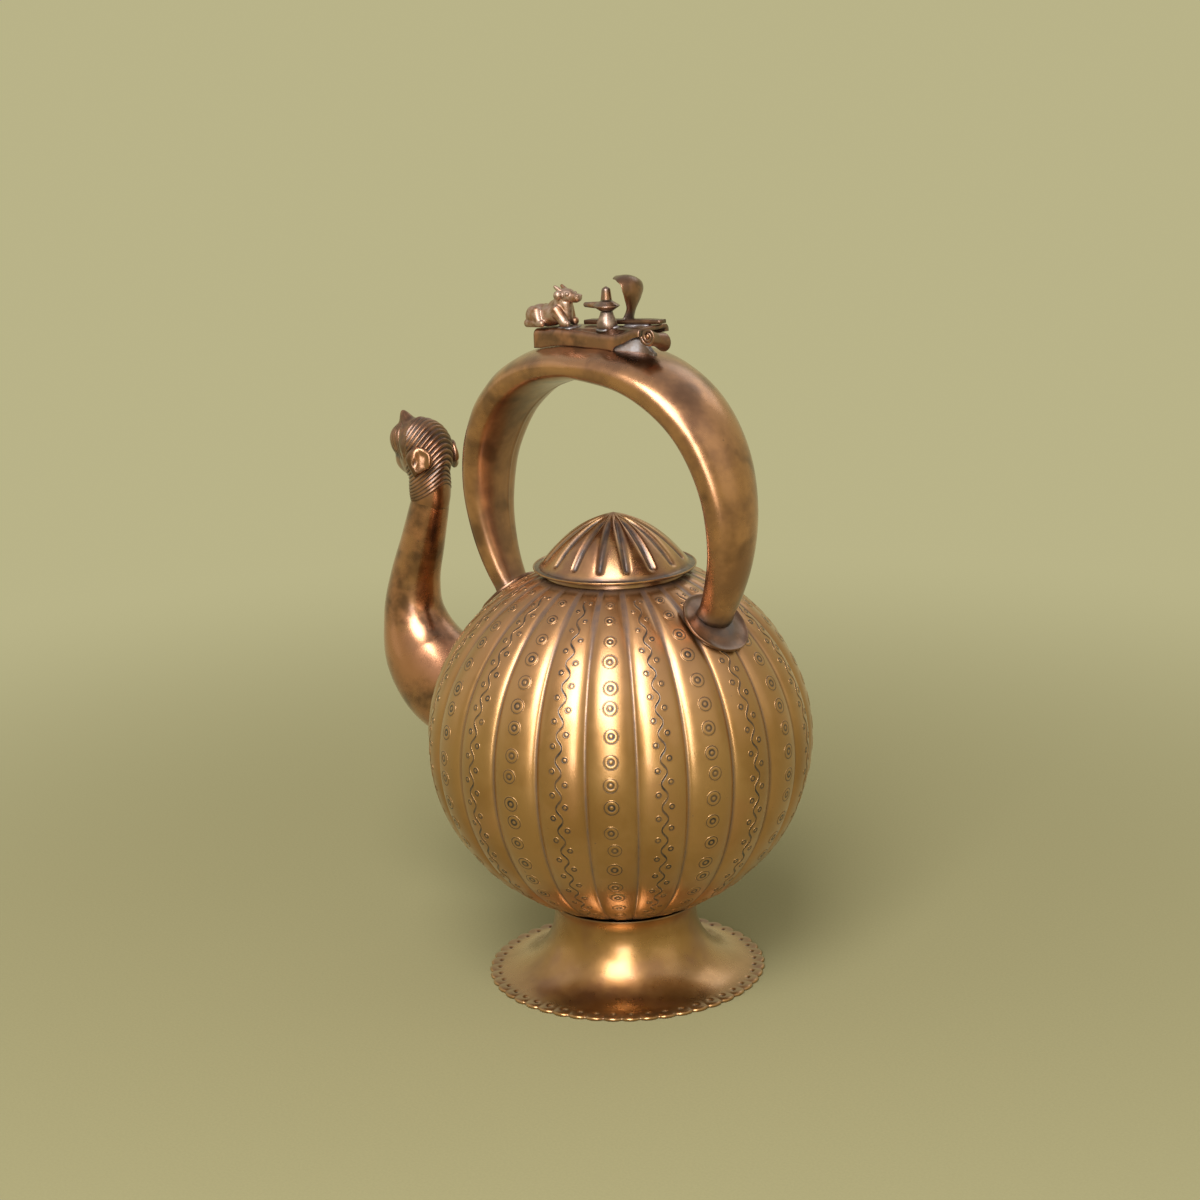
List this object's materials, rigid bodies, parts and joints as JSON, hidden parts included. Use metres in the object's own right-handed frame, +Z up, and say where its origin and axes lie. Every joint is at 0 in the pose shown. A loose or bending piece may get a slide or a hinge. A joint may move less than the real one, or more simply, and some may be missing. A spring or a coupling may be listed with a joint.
{
  "type": "spouted ritual water vessel",
  "caption": "Lobed metal water vessel on a flared foot, with a fluted lift-off lid, a fixed arched handle that carries small figures, and a curved spout ending in a beast head",
  "frame": {"origin": "middle of the underside of the object's box, on the surface that it stands on; the pot's axis is 27 mm to +X of it", "axes": "+Z up along the pot's axis, -X towards the spout, Y across the handle's arch"},
  "size_m": [0.2226, 0.1684, 0.3118],
  "materials": {
    "golden_brass": "aged golden brass, semi-gloss, dark patina in the grooves",
    "brown_brass": "reddish brown patina, semi-gloss",
    "dark_brass": "dark brown patina, satin",
    "solder": "dull grey solder"
  },
  "bodies": {
    "vessel": {"body": "golden_brass", "foot": "golden_brass", "mouth_collar": "golden_brass", "spout": "brown_brass", "beast_head": "brown_brass", "handle": "brown_brass", "handle_plate_front": "brown_brass", "handle_plate_rear": "brown_brass", "saddle": "brown_brass", "scroll": "brown_brass", "saddle_solder": "solder", "bull": "brown_brass", "cobra_strip": "dark_brass", "pedestal": "brown_brass", "yoni_dish": "dark_brass", "lingam": "dark_brass", "cobra": "dark_brass"},
    "lid": {"lid": "golden_brass", "lid_sleeve": "golden_brass"}
  },
  "joints": [
    {"name": "lid_lift", "type": "slide", "parent": "vessel", "child": "lid", "axis": [0, 0, 1], "range_m": [0, 0.05]}
  ]
}
